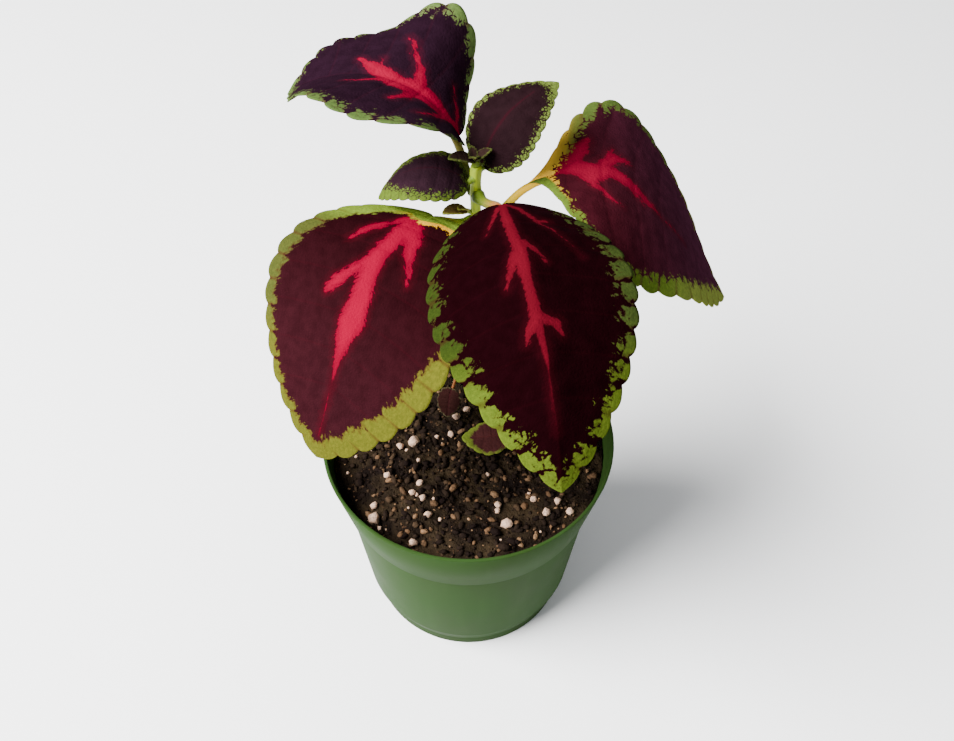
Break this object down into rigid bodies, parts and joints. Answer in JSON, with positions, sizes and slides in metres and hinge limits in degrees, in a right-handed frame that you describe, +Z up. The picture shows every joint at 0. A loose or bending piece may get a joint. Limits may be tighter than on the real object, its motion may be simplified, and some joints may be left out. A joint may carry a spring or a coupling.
{
  "type": "potted coleus",
  "caption": "Young coleus with broad, scallop-edged, patterned leaves on an upright stem, growing from soil in a tapered round nursery pot with a rim band.",
  "frame": {"origin": "centre of the pot's flat underside", "axes": "+Z up along the pot's axis and the plant's height; the front leaf leans toward -Y"},
  "size_m": [0.1465, 0.1421, 0.205],
  "materials": {
    "pot_plastic": "moulded green plastic, satin, faintly mottled",
    "potting_soil": "damp dark peat with bark crumbs, rough",
    "perlite": "off-white expanded perlite beads, dull",
    "bark": "small bark and peat crumbs, rough",
    "stem": "smooth green square stem, fine down",
    "petiole": "yellow-orange leaf stalk, smooth",
    "leaf": "dark maroon leaf with a crimson centre and a green scalloped edge, soft sheen",
    "young_leaf": "young maroon leaf with a green edge, soft sheen"
  },
  "bodies": {
    "root": {"pot": "pot_plastic", "soil": "potting_soil", "stem": "stem", "leaf_front": "leaf", "leaf_left": "leaf", "leaf_right": "leaf", "leaf_back": "leaf", "leaf_upper_right": "young_leaf", "leaf_upper_left": "young_leaf", "leaf_low_left": "young_leaf", "leaf_low_front": "young_leaf", "shoot_tip": "young_leaf", "shoot_axil": "young_leaf"}
  },
  "joints": []
}
